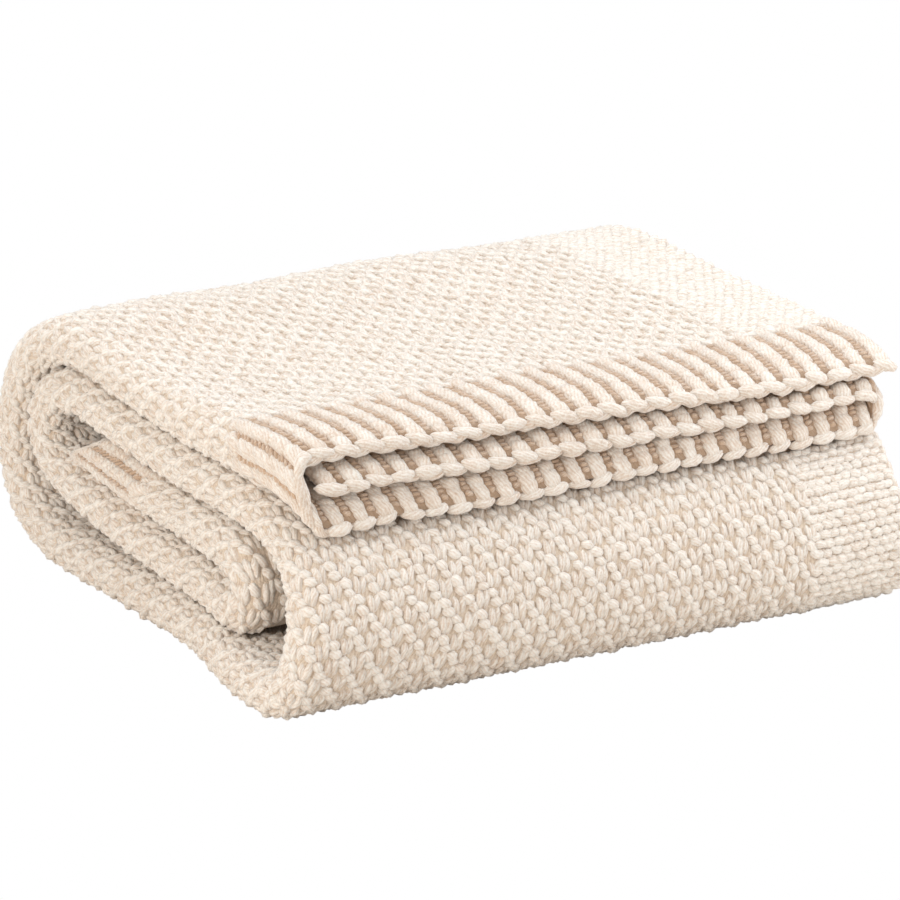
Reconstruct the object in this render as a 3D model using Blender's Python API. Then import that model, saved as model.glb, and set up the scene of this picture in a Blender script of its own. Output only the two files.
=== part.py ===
"""Knit throw blanket, folded in thirds across its width and rolled up into five bands.

The body is one thick sheet. Its width runs along a C-shaped profile of three plies, and its length runs
along a spiral of bands and turns seen from the blanket's left end. Front is -Y, up is +Z, and the bands
run along X. All tables are in millimetres.
"""

import math

import bmesh
import bpy
import numpy as np

MM = 0.001
BLANKET_LENGTH_X = 423.0
PLY_THICKNESS = 8.0
PLY_SPACING = 10.0
SELVEDGE_TUCK = 9.0
INNER_FOLD_INSET = 7.0

# Segments across each stretch of the profile, and sections along the spiral
PLY_SEGMENTS = 4
LEFT_FOLD_SEGMENTS = 6
RIGHT_FOLD_SEGMENTS = 4
SECTIONS = 92
SECTION_SPREAD = 90.0
CURVE_STEP = 1.5
SMOOTHING_PASSES = 10

# Table columns
NAME, Y_LEFT, Z_LEFT, Y_RIGHT, Z_RIGHT, X_LEFT, X_RIGHT, SPREAD_LEFT, SPREAD_RIGHT = range(9)

# One row per point of the spiral: centre line at the left and right ends, how far each end is moved
# along X, and how loosely the three plies lie there
SPIRAL = (
    ("outer hem", -14, 111, -14, 109, 9, -8, 1.15, 1.05),
    ("hem lip", -2, 128, -1, 125.5, 4, -6, 1.3, 1.1),
    ("band A front", 23, 138.5, 26, 134.5, 0, -3, 1.35, 1.1),
    ("band A", 60, 138.5, 60, 136.5, 0, 0, 1.3, 1.0),
    ("band A", 100, 138.5, 100, 138, 0, 0, 1.2, 1.0),
    ("band A", 140, 139, 140, 139.5, 0, 0, 1.1, 1.0),
    ("band A", 180, 141.5, 185, 141, 0, 0, 1.0, 1.0),
    ("band A", 220, 145, 230, 142, 0, 0, 1.0, 1.0),
    ("band A rear", 268, 149, 282, 141.5, 0, 0, 1.0, 1.0),
    ("rear turn", 303, 143, 318, 134.5, -1, 0, 1.0, 1.0),
    ("rear turn", 331, 124, 345, 115, -3, 0, 1.0, 1.0),
    ("rear turn", 346, 95, 359, 88, -4, 0, 1.0, 1.0),
    ("rear turn", 347, 64, 359, 60, -5, 0, 1.0, 1.0),
    ("rear turn", 334, 36, 346, 34, -5, 0, 1.0, 1.0),
    ("rear turn", 308, 19, 320, 18, -3, 0, 1.0, 1.0),
    ("band E rear", 275, 14, 285, 14, 0, 0, 1.0, 1.0),
    ("band E", 235, 14, 240, 14, 0, 0, 1.0, 1.0),
    ("band E", 190, 14, 190, 14, 0, 0, 1.0, 1.0),
    ("band E", 145, 14, 145, 14, -1, 0, 1.0, 1.0),
    ("band E", 105, 14, 105, 14, -6, -4, 1.0, 1.0),
    ("band E", 70, 14, 70, 14, -14, -10, 1.0, 1.0),
    ("band E front", 38, 14, 36, 14, -20, -12, 1.0, 1.0),
    ("front turn", 12, 14, 9, 14, -22, -11, 1.0, 1.0),
    ("front turn", -3, 15.5, -6, 15.5, -22, -11, 1.0, 1.0),
    ("front turn", -14, 22.5, -17, 22.5, -19, -12, 1.0, 1.0),
    ("front turn", -18, 36, -21, 36, -15, -13, 1.0, 1.0),
    ("front turn", -16, 53, -18, 53, -10, -15, 1.0, 1.0),
    ("front turn", -9, 71, -10, 70, -6, -16, 1.0, 1.0),
    ("front turn", 6, 88, 6, 87, -2, -15, 1.0, 1.0),
    ("front turn", 29, 99.5, 31, 98, 0, -11, 1.0, 1.0),
    ("band B front", 56, 105, 58, 103.5, 0, -6, 1.0, 1.0),
    ("band B", 90, 107, 90, 106, 0, -2, 1.0, 1.0),
    ("band B", 130, 108.5, 130, 108, 0, 0, 1.0, 1.0),
    ("band B", 170, 110.5, 170, 110, 0, 0, 1.0, 1.0),
    ("band B", 215, 114.5, 220, 112, 0, 0, 1.0, 1.0),
    ("band B", 252, 118, 262, 113, 0, 0, 1.0, 1.0),
    ("band B rear", 281, 118, 291, 111.5, 0, 0, 1.0, 1.0),
    ("inner rear turn", 303, 109.5, 314, 103.5, -2, 0, 1.0, 1.0),
    ("inner rear turn", 312, 90, 323, 85, -3, 0, 1.0, 1.0),
    ("inner rear turn", 303, 70, 314, 66, -2, 0, 1.0, 1.0),
    ("band D rear", 281, 60.5, 291, 57, 0, 0, 1.0, 1.0),
    ("band D", 250, 55, 255, 52, 0, 0, 1.0, 1.0),
    ("band D", 210, 50, 210, 48, 0, 0, 1.0, 1.0),
    ("band D", 170, 47, 170, 46, 0, 0, 1.0, 1.0),
    ("band D", 130, 45, 130, 45, -1, 0, 1.0, 1.0),
    ("band D front", 92, 43.6, 92, 43.6, -4, 0, 1.0, 1.0),
    ("inner front turn", 68, 42.9, 70, 42.9, -7, 0, 1.0, 1.0),
    ("inner front turn", 61.5, 43.8, 63.5, 43.8, -7, 0, 1.0, 1.0),
    ("inner front turn", 56, 47.5, 58, 47.5, -7, 0, 1.0, 1.0),
    ("inner front turn", 52.3, 53, 54.3, 53, -7, 0, 1.0, 1.0),
    ("inner front turn", 51, 59.5, 53, 59.5, -7, 0, 1.0, 1.0),
    ("inner front turn", 52.3, 66, 54.3, 66, -7, 0, 1.0, 1.0),
    ("inner front turn", 56, 71.5, 58, 71.5, -7, 0, 1.0, 1.0),
    ("inner front turn", 61.5, 75.2, 63.5, 75.2, -7, 0, 1.0, 1.0),
    ("inner front turn", 68, 76.5, 70, 76.3, -7, 0, 1.0, 1.0),
    ("band C front", 94, 77.2, 94, 76.6, -4, 0, 1.0, 1.0),
    ("band C", 140, 78.5, 140, 78, 0, 0, 1.0, 1.0),
    ("band C", 180, 80, 180, 79.5, 0, 0, 1.0, 1.0),
    ("band C", 220, 83.5, 220, 81.5, 0, 0, 1.0, 1.0),
    ("band C rear", 252, 87, 258, 82.5, 0, 0, 0.95, 0.95),
    ("inner hem", 281, 89.5, 291, 84.4, 0, 0, 0.87, 0.87),
)

# Where each hem lies along the spiral, measured from the spiral's two ends: at the right and left ends
# of the outer ply, the inner ply and the middle ply
HEM_NAME, OUTER_RIGHT, OUTER_LEFT, INNER_LEFT, INNER_RIGHT, MIDDLE_RIGHT, MIDDLE_LEFT = range(7)
HEMS = (
    ("outer hem", 27.0, 36.0, 0.0, 1.0, 18.0, 22.0),
    ("inner hem", 34.0, 44.0, 0.0, 3.0, 14.0, 20.0),
)

# A hem's offset dies away over this distance
HEM_REACH = 180.0

# Gentle rise and sag of the whole stack: fraction along X, then height factor at the front and the rear
SAG_AT, SAG_FRONT, SAG_REAR = range(3)
SAG = (
    (0.0, 1.0, 1.0),
    (0.2, 1.0, 1.02),
    (0.5, 1.0, 1.035),
    (0.8, 1.005, 1.035),
    (1.0, 1.005, 1.015),
)

RIPPLE_HEIGHT = 0.006
RIPPLE_LENGTH_X = 190.0
RIPPLE_LENGTH_Y = 310.0

WOOL_COLOUR = (0.83, 0.75, 0.65, 1.0)
WOOL_ROUGHNESS = 0.95


def remove_scene_objects():
    for existing in list(bpy.data.objects):
        bpy.data.objects.remove(existing, do_unlink=True)


def distances(line):
    steps = np.linalg.norm(np.diff(line, axis=0), axis=1)
    return np.concatenate([[0.0], np.cumsum(steps)])


def curve_through(points, step):
    """Rows a step apart on a smooth line through the rows of points."""
    spans = distances((points[:, 0:2] + points[:, 2:4]) / 2)
    slopes = np.gradient(points, spans, axis=0)
    wanted = np.linspace(0.0, spans[-1], int(spans[-1] / step) + 1)
    first = np.clip(np.searchsorted(spans, wanted, side="right") - 1, 0, len(spans) - 2)
    width = (spans[first + 1] - spans[first])[:, None]
    t = (wanted - spans[first])[:, None] / width
    start = (1 + 2 * t) * (1 - t) ** 2 * points[first] + t * (1 - t) ** 2 * width * slopes[first]
    end = t**2 * (3 - 2 * t) * points[first + 1] + t**2 * (t - 1) * width * slopes[first + 1]
    return start + end


def smoothed(line, passes):
    """The line with small kinks evened out and its two ends kept."""
    line = line.copy()
    for _ in range(passes):
        line[1:-1] = 0.25 * line[:-2] + 0.5 * line[1:-1] + 0.25 * line[2:]
    return line


def normals_of(line):
    """Unit vectors to the left of the line's direction, which is the spiral's outer side."""
    along = np.gradient(line, axis=0)
    along /= np.linalg.norm(along, axis=1)[:, None]
    return np.column_stack([-along[:, 1], along[:, 0]])


def spiral_lines():
    """Distance along the spiral, and the rows of everything that changes along it."""
    values = np.array([row[Y_LEFT:] for row in SPIRAL], float)
    fine = smoothed(curve_through(values, CURVE_STEP), SMOOTHING_PASSES)
    left, right = fine[:, 0:2], fine[:, 2:4]
    rows = np.column_stack([left, normals_of(left), right, normals_of(right), fine[:, 4:]])
    return distances((left + right) / 2), rows


def profile():
    """The sheet's middle line across its width, from the free selvedge at the right.

    Each row holds how far along X it lies (a fraction and an offset), its ply position, its normal, and
    which stretch of which hem it belongs to.
    """
    rows = []
    fold = PLY_THICKNESS / 2 + PLY_SPACING
    turn = PLY_THICKNESS / 2 + PLY_SPACING / 2
    for k in range(PLY_SEGMENTS + 1):
        t = k / PLY_SEGMENTS
        rows.append((1 - t, fold * t, 1.0, 0.0, 1.0, OUTER_RIGHT, OUTER_LEFT, t))
    for k in range(1, LEFT_FOLD_SEGMENTS):
        t = k / LEFT_FOLD_SEGMENTS
        angle = math.pi * (0.5 + t)
        reach = fold + PLY_SPACING * math.cos(angle)
        rows.append(
            (0.0, reach, math.sin(angle), math.cos(angle), math.sin(angle), OUTER_LEFT, INNER_LEFT, t)
        )
    inset = INNER_FOLD_INSET + turn
    for k in range(PLY_SEGMENTS + 1):
        t = k / PLY_SEGMENTS
        offset = fold * (1 - t) - inset * t
        rows.append((t, offset, -1.0, 0.0, -1.0, INNER_LEFT, INNER_RIGHT, t))
    for k in range(1, RIGHT_FOLD_SEGMENTS):
        t = k / RIGHT_FOLD_SEGMENTS
        angle = math.pi * (t - 0.5)
        reach = -inset + PLY_SPACING / 2 * math.cos(angle)
        ply = -0.5 + 0.5 * math.sin(angle)
        rows.append(
            (1.0, reach, ply, math.cos(angle), math.sin(angle), INNER_RIGHT, MIDDLE_RIGHT, t)
        )
    for k in range(PLY_SEGMENTS + 1):
        t = k / PLY_SEGMENTS
        offset = -inset * (1 - t) + (fold + SELVEDGE_TUCK) * t
        rows.append((1 - t, offset, 0.0, 0.0, 1.0, MIDDLE_RIGHT, MIDDLE_LEFT, t))
    return rows


def eased(t):
    return t * t * (3 - 2 * t)


def faded(distance):
    """How much of a hem's offset is left this far from the end of the spiral."""
    return max(0.0, 1.0 - distance / HEM_REACH) ** 2


def section_stations(spans, rows):
    """Even shares of the spiral's length and bending, from 0 to 1 along it."""
    bend = np.abs(np.diff(np.unwrap(np.arctan2(rows[:, 3], rows[:, 2]))))
    share = np.concatenate([[0.0], np.cumsum(np.diff(spans) + SECTION_SPREAD * bend)])
    wanted = np.linspace(0.0, share[-1], SECTIONS + 1)
    return np.interp(wanted, share, spans) / spans[-1]


def sag_at(x, y, depth):
    """Height factor of the stack at one place."""
    table = np.array(SAG)
    along = min(max(x / BLANKET_LENGTH_X, 0.0), 1.0)
    front = np.interp(along, table[:, SAG_AT], table[:, SAG_FRONT])
    rear = np.interp(along, table[:, SAG_AT], table[:, SAG_REAR])
    ripple = RIPPLE_HEIGHT * math.sin(math.tau * (x / RIPPLE_LENGTH_X + y / RIPPLE_LENGTH_Y))
    return front + (rear - front) * min(max(y / depth, 0.0), 1.0) + ripple


def sheet_point(row, station, height, spans, rows):
    """A point of the folded sheet, at a profile row, a station along it and a height off its middle."""
    fraction, offset, ply, normal_x, normal_w, hem_from, hem_to, t = row
    first = HEMS[0][hem_from] + (HEMS[0][hem_to] - HEMS[0][hem_from]) * eased(t)
    last = HEMS[1][hem_from] + (HEMS[1][hem_to] - HEMS[1][hem_from]) * eased(t)
    nominal = spans[-1] * station
    along = nominal + first * faded(nominal) - last * faded(spans[-1] - nominal)
    values = [np.interp(along, spans, column) for column in rows.T]
    left, left_normal = np.array(values[0:2]), np.array(values[2:4])
    right, right_normal = np.array(values[4:6]), np.array(values[6:8])
    x_left, x_right, spread_left, spread_right = values[8:12]
    base = x_left + (BLANKET_LENGTH_X + x_right - x_left) * fraction
    share = min(max(base / BLANKET_LENGTH_X, 0.0), 1.0)
    spread = spread_left + (spread_right - spread_left) * share
    x = base + offset + height * normal_x
    w = ply * PLY_SPACING * spread + height * normal_w
    share = eased(min(max(x / BLANKET_LENGTH_X, 0.0), 1.0))
    y, z = (left + w * left_normal) * (1 - share) + (right + w * right_normal) * share
    return np.array([x, y, max(z, 0.0) * sag_at(x, y, rows[:, 4].max())])


def sheet_mesh():
    """Corner points and faces of the thick sheet: two sides and four rounded edges."""
    spans, rows = spiral_lines()
    across = profile()
    stations = section_stations(spans, rows)
    half = PLY_THICKNESS / 2
    sides = [
        np.array([[sheet_point(row, s, height, spans, rows) for row in across] for s in stations])
        for height in (half, -half)
    ]
    count_v, count_u = sides[0].shape[:2]
    points = np.vstack([side.reshape(-1, 3) for side in sides])
    faces = []

    def index(side, j, i):
        return side * count_v * count_u + j * count_u + i

    for j in range(count_v - 1):
        for i in range(count_u - 1):
            top = [index(0, j, i), index(0, j, i + 1), index(0, j + 1, i + 1), index(0, j + 1, i)]
            under = [index(1, j, i), index(1, j + 1, i), index(1, j + 1, i + 1), index(1, j, i + 1)]
            faces += [top, under]
    for j in range(count_v - 1):
        for i in (0, count_u - 1):
            faces.append([index(0, j, i), index(0, j + 1, i), index(1, j + 1, i), index(1, j, i)])
    for i in range(count_u - 1):
        for j in (0, count_v - 1):
            faces.append([index(0, j, i), index(1, j, i), index(1, j, i + 1), index(0, j, i + 1)])
    return points, faces


def wool_material():
    material = bpy.data.materials.new("wool")
    material.use_nodes = True
    shader = material.node_tree.nodes["Principled BSDF"]
    shader.inputs["Base Color"].default_value = WOOL_COLOUR
    shader.inputs["Roughness"].default_value = WOOL_ROUGHNESS
    shader.inputs["Metallic"].default_value = 0.0
    return material


def build():
    remove_scene_objects()
    points, faces = sheet_mesh()
    low, high = points.min(axis=0), points.max(axis=0)
    points -= [(low[0] + high[0]) / 2, (low[1] + high[1]) / 2, low[2]]
    mesh = bpy.data.meshes.new("throw_blanket")
    mesh.from_pydata((points * MM).tolist(), [], faces)
    body = bmesh.new()
    body.from_mesh(mesh)
    bmesh.ops.triangulate(body, faces=body.faces[:])
    bmesh.ops.recalc_face_normals(body, faces=body.faces[:])
    body.to_mesh(mesh)
    body.free()
    mesh.materials.append(wool_material())
    blanket = bpy.data.objects.new("throw_blanket", mesh)
    bpy.context.scene.collection.objects.link(blanket)


build()
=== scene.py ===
"""Knit throw blanket, folded in thirds across its width and rolled up into five bands.

One sheet carries the shape. Its stitches are short lengths of yarn that lie on it: double moss stitch in
the middle, ribs along both hems, and garter stitch along both selvedges. Tables are in millimetres, and
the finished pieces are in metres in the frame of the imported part.
"""

import logging
import math
from dataclasses import dataclass, field, replace
from enum import Enum
from itertools import islice
from typing import NamedTuple

import bmesh
import bpy
import numpy as np
from mathutils import Matrix, Vector
from mathutils.bvhtree import BVHTree


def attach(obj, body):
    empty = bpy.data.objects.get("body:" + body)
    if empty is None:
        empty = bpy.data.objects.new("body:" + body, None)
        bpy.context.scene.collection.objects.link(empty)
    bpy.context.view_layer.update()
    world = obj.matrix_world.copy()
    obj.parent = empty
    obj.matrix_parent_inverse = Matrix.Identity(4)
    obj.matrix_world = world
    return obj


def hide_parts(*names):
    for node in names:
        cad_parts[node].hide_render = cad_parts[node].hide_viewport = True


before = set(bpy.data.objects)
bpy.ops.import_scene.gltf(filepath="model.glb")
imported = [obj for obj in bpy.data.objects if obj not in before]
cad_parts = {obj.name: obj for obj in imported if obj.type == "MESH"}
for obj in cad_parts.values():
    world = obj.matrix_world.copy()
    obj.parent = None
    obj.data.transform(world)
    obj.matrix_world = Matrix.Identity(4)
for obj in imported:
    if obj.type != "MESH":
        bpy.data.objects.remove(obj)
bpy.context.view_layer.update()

LOG = logging.getLogger("throw")
Array = np.ndarray
MM = 0.001
TINY = 1e-9
SEED = 7


class SpiralPoint(NamedTuple):
    """One point of the roll's centre line, at the left end and the right end.

    The x values move the ends of the plies along X, and the spreads say how loosely the plies lie.
    """

    band: str
    y_left: float
    z_left: float
    y_right: float
    z_right: float
    x_left: float = 0.0
    x_right: float = 0.0
    spread_left: float = 1.0
    spread_right: float = 1.0


SPIRAL = tuple(
    SpiralPoint(*row)
    for row in (
        ("outer hem", -14, 111, -14, 109, 9, -8, 1.15, 1.05),
        ("hem lip", -2, 128, -1, 125.5, 4, -6, 1.3, 1.1),
        ("band A front", 23, 138.5, 26, 134.5, 0, -3, 1.35, 1.1),
        ("band A", 60, 138.5, 60, 136.5, 0, 0, 1.3, 1.0),
        ("band A", 100, 138.5, 100, 138, 0, 0, 1.2, 1.0),
        ("band A", 140, 139, 140, 139.5, 0, 0, 1.1, 1.0),
        ("band A", 180, 141.5, 185, 141),
        ("band A", 220, 145, 230, 142),
        ("band A rear", 268, 149, 282, 141.5),
        ("rear turn", 303, 143, 318, 134.5, -1, 0),
        ("rear turn", 331, 124, 345, 115, -3, 0),
        ("rear turn", 346, 95, 359, 88, -4, 0),
        ("rear turn", 347, 64, 359, 60, -5, 0),
        ("rear turn", 334, 36, 346, 34, -5, 0),
        ("rear turn", 308, 19, 320, 18, -3, 0),
        ("band E rear", 275, 14, 285, 14),
        ("band E", 235, 14, 240, 14),
        ("band E", 190, 14, 190, 14),
        ("band E", 145, 14, 145, 14, -1, 0),
        ("band E", 105, 14, 105, 14, -6, -4),
        ("band E", 70, 14, 70, 14, -14, -10),
        ("band E front", 38, 14, 36, 14, -20, -12),
        ("front turn", 12, 14, 9, 14, -22, -11),
        ("front turn", -3, 15.5, -6, 15.5, -22, -11),
        ("front turn", -14, 22.5, -17, 22.5, -19, -12),
        ("front turn", -18, 36, -21, 36, -15, -13),
        ("front turn", -16, 53, -18, 53, -10, -15),
        ("front turn", -9, 71, -10, 70, -6, -16),
        ("front turn", 6, 88, 6, 87, -2, -15),
        ("front turn", 29, 99.5, 31, 98, 0, -11),
        ("band B front", 56, 105, 58, 103.5, 0, -6),
        ("band B", 90, 107, 90, 106, 0, -2),
        ("band B", 130, 108.5, 130, 108),
        ("band B", 170, 110.5, 170, 110),
        ("band B", 215, 114.5, 220, 112),
        ("band B", 252, 118, 262, 113),
        ("band B rear", 281, 118, 291, 111.5),
        ("inner rear turn", 303, 109.5, 314, 103.5, -2, 0),
        ("inner rear turn", 312, 90, 323, 85, -3, 0),
        ("inner rear turn", 303, 70, 314, 66, -2, 0),
        ("band D rear", 281, 60.5, 291, 57),
        ("band D", 250, 55, 255, 52),
        ("band D", 210, 50, 210, 48),
        ("band D", 170, 47, 170, 46),
        ("band D", 130, 45, 130, 45, -1, 0),
        ("band D front", 92, 43.6, 92, 43.6, -4, 0),
        ("inner front turn", 68, 42.9, 70, 42.9, -7, 0),
        ("inner front turn", 61.5, 43.8, 63.5, 43.8, -7, 0),
        ("inner front turn", 56, 47.5, 58, 47.5, -7, 0),
        ("inner front turn", 52.3, 53, 54.3, 53, -7, 0),
        ("inner front turn", 51, 59.5, 53, 59.5, -7, 0),
        ("inner front turn", 52.3, 66, 54.3, 66, -7, 0),
        ("inner front turn", 56, 71.5, 58, 71.5, -7, 0),
        ("inner front turn", 61.5, 75.2, 63.5, 75.2, -7, 0),
        ("inner front turn", 68, 76.5, 70, 76.3, -7, 0),
        ("band C front", 94, 77.2, 94, 76.6, -4, 0),
        ("band C", 140, 78.5, 140, 78),
        ("band C", 180, 80, 180, 79.5),
        ("band C", 220, 83.5, 220, 81.5),
        ("band C rear", 252, 87, 258, 82.5, 0, 0, 0.95, 0.95),
        ("inner hem", 281, 89.5, 291, 84.4, 0, 0, 0.87, 0.87),
    )
)


# Columns of the finer rows of the centre line: place and outward direction at each end, then the rest
LEFT, LEFT_OUT, RIGHT, RIGHT_OUT, SHIFTS = slice(0, 2), slice(2, 4), slice(4, 6), slice(6, 8), slice(8, 12)


class HemOffsets(NamedTuple):
    """How far a hem lies from the end of the centre line at the corners of the three plies."""

    outer_right: float
    outer_left: float
    inner_left: float
    inner_right: float
    middle_right: float
    middle_left: float


OUTER_HEM = HemOffsets(27.0, 36.0, 0.0, 1.0, 18.0, 22.0)
INNER_HEM = HemOffsets(34.0, 44.0, 0.0, 3.0, 14.0, 20.0)


class SagPoint(NamedTuple):
    """Height factor of the stack at its front and rear, at a share of the way along X."""

    share: float
    front: float
    rear: float


SAG = (
    SagPoint(0.0, 1.0, 1.0),
    SagPoint(0.2, 1.0, 1.02),
    SagPoint(0.5, 1.0, 1.035),
    SagPoint(0.8, 1.005, 1.035),
    SagPoint(1.0, 1.005, 1.015),
)


class Side(Enum):
    """A side of the sheet: the outside or the inside of the fold in thirds."""

    OUTSIDE = 1
    INSIDE = -1


def eased(t: Array) -> Array:
    """Smooth step of t, which is from 0 to 1."""
    return t * t * (3 - 2 * t)


def distances(line: Array) -> Array:
    """Distance of each point of a line from its start."""
    steps = np.linalg.norm(np.diff(line, axis=0), axis=1)
    return np.concatenate([[0.0], np.cumsum(steps)])


def new_object(name: str, data: bpy.types.ID) -> bpy.types.Object:
    """Makes an object at the origin and puts it in the scene.

    Args:
        name: The object's name.
        data: Its mesh, light or camera.

    Returns:
        The object.
    """
    made = bpy.data.objects.new(name, data)
    bpy.context.scene.collection.objects.link(made)
    return made


@dataclass
class BlanketFold:
    """Places points of the flat sheet in the folded and rolled throw.

    A point of the sheet is (u, v, h): u goes across from the free selvedge at the right, v goes along
    from the outer hem, and h is the height off the sheet's middle, outwards from the fold in thirds.
    """

    length_x: float = 423.0
    ply_thickness: float = 8.0
    ply_spacing: float = 10.0
    selvedge_tuck: float = 9.0
    inner_fold_inset: float = 7.0
    curve_step: float = 1.5
    smoothing_passes: int = 10
    overrun: float = 30.0
    hem_reach: float = 320.0
    ripple_height: float = 0.006
    ripple_length_x: float = 190.0
    ripple_length_y: float = 310.0
    skin_height: float = 11.0
    skin_until: float = 950.0
    skin_fade: float = 120.0
    fold_samples: int = 1200
    probe: float = 2.0
    stretch_limits: tuple[float, float] = (0.6, 1.8)
    origin: tuple[float, float, float] = (200.5363, 169.6416, 0.0)
    spans: Array = field(init=False)
    rows: Array = field(init=False)
    grown: Array = field(init=False)
    depth: float = field(init=False)

    def __post_init__(self) -> None:
        """Works out the centre lines and the distance that v is measured in."""
        values = np.array([point[1:] for point in SPIRAL], float)
        fine = self._smoothed(self._curve_through(values))
        left, right = fine[:, 0:2], fine[:, 2:4]
        self.spans = distances((left + right) / 2)
        sides = [left, self._normals(left), right, self._normals(right), fine[:, 4:]]
        self.rows = np.column_stack(sides)
        self.depth = float(right[:, 0].max())
        self.grown = self._skin_distance()
        self._extend_ends()

    def _curve_through(self, points: Array) -> Array:
        """Rows a step apart on a smooth line through rows of points.

        Args:
            points: One row per point, with the left end's and right end's places first.

        Returns:
            The finer rows.
        """
        spans = distances((points[:, 0:2] + points[:, 2:4]) / 2)
        slopes = np.gradient(points, spans, axis=0)
        wanted = np.linspace(0.0, spans[-1], int(spans[-1] / self.curve_step) + 1)
        first = np.clip(np.searchsorted(spans, wanted, side="right") - 1, 0, len(spans) - 2)
        width = (spans[first + 1] - spans[first])[:, None]
        t = (wanted - spans[first])[:, None] / width
        start = (1 + 2 * t) * (1 - t) ** 2 * points[first] + t * (1 - t) ** 2 * width * slopes[first]
        end = t**2 * (3 - 2 * t) * points[first + 1] + t**2 * (t - 1) * width * slopes[first + 1]
        return start + end

    def _smoothed(self, line: Array) -> Array:
        """Evens out the small kinks of a line and keeps its two ends.

        Args:
            line: One row per point.

        Returns:
            The evened line.
        """
        line = line.copy()
        for _ in range(self.smoothing_passes):
            line[1:-1] = 0.25 * line[:-2] + 0.5 * line[1:-1] + 0.25 * line[2:]
        return line

    @staticmethod
    def _normals(line: Array) -> Array:
        """Finds the directions to the outer side of the roll.

        Args:
            line: One (y, z) row per point of a centre line.

        Returns:
            One unit vector per point.
        """
        along = np.gradient(line, axis=0)
        along /= np.linalg.norm(along, axis=1)[:, None]
        return np.column_stack([-along[:, 1], along[:, 0]])

    def _skin_distance(self) -> Array:
        """Measures the sheet where it shows: on the outer ply first, then in the middle of the plies.

        Returns:
            The distance of each row from the outer hem.
        """
        outer = (
            distances(self.rows[:, LEFT] + self.skin_height * self.rows[:, LEFT_OUT])
            + distances(self.rows[:, RIGHT] + self.skin_height * self.rows[:, RIGHT_OUT])
        ) / 2
        share = np.clip((self.skin_until + self.skin_fade - self.spans) / self.skin_fade, 0.0, 1.0)
        steps = share[1:] * np.diff(outer) + (1 - share[1:]) * np.diff(self.spans)
        return np.concatenate([[0.0], np.cumsum(steps)])

    def _extend_ends(self) -> None:
        """Runs the centre lines straight on past both hems, for the yarn that stands out there."""
        first, last = self.rows[0].copy(), self.rows[-1].copy()
        for row, inwards in ((first, self.rows[1]), (last, self.rows[-2])):
            for end in (LEFT, RIGHT):
                step = row[end] - inwards[end]
                row[end] += step / np.linalg.norm(step) * self.overrun
        self.rows = np.vstack([first, self.rows, last])
        self.spans = np.concatenate([[-self.overrun], self.spans, [self.spans[-1] + self.overrun]])
        self.grown = np.concatenate([[-self.overrun], self.grown, [self.grown[-1] + self.overrun]])

    @property
    def length(self) -> float:
        """Length of the sheet along the roll, from hem to hem."""
        return float(self.grown[-1] - self.overrun)

    @property
    def folds(self) -> tuple[float, float, float]:
        """Reaches of the left and of the right fold, and how far the plies at the right are drawn in.

        Returns:
            The three distances.
        """
        left = self.ply_thickness / 2 + self.ply_spacing
        right = self.ply_thickness / 2 + self.ply_spacing / 2
        return left, right, self.inner_fold_inset + right

    @property
    def edges(self) -> Array:
        """Distances across the sheet at which each ply and each fold starts and ends.

        Returns:
            Six distances from the free selvedge.
        """
        fold, turn, inset = self.folds
        widths = (
            self.length_x - fold,
            math.pi * fold,
            self.length_x - fold - inset,
            math.pi * turn,
            self.length_x - inset - fold - self.selvedge_tuck,
        )
        return np.concatenate([[0.0], np.cumsum(widths)])

    def _profile(self, u: Array) -> dict[str, Array]:
        """What changes across the sheet, at each distance from the free selvedge.

        Args:
            u: Distances across the sheet.

        Returns:
            The share of the way along X, the offset along X, the ply's place, the normal's two parts,
            and the offsets of both hems.
        """
        edges = self.edges
        fold, _, inset = self.folds
        part = np.clip(np.searchsorted(edges, u, side="right") - 1, 0, 4)
        t = (u - edges[part]) / (edges[part + 1] - edges[part])
        left = np.pi * (0.5 + t)
        right = np.pi * (t - 0.5)
        one, none = np.ones_like(t), np.zeros_like(t)
        half = self.ply_spacing / 2
        table = {
            "share": (1 - t, none, t, one, 1 - t),
            "offset": (
                fold * t,
                fold + self.ply_spacing * np.cos(left),
                fold * (1 - t) - inset * t,
                -inset + half * np.cos(right),
                -inset * (1 - t) + (fold + self.selvedge_tuck) * t,
            ),
            "ply": (one, np.sin(left), -one, -0.5 + 0.5 * np.sin(right), none),
            "normal_x": (none, np.cos(left), none, np.cos(right), none),
            "normal_w": (one, np.sin(left), -one, np.sin(right), one),
        }
        found = {name: np.choose(part, columns) for name, columns in table.items()}
        ease = eased(np.clip(t, 0.0, 1.0))
        for name, hem in (("outer_hem", OUTER_HEM), ("inner_hem", INNER_HEM)):
            ends = np.array(hem)
            found[name] = ends[part] + (ends[part + 1] - ends[part]) * ease
        return found

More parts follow.
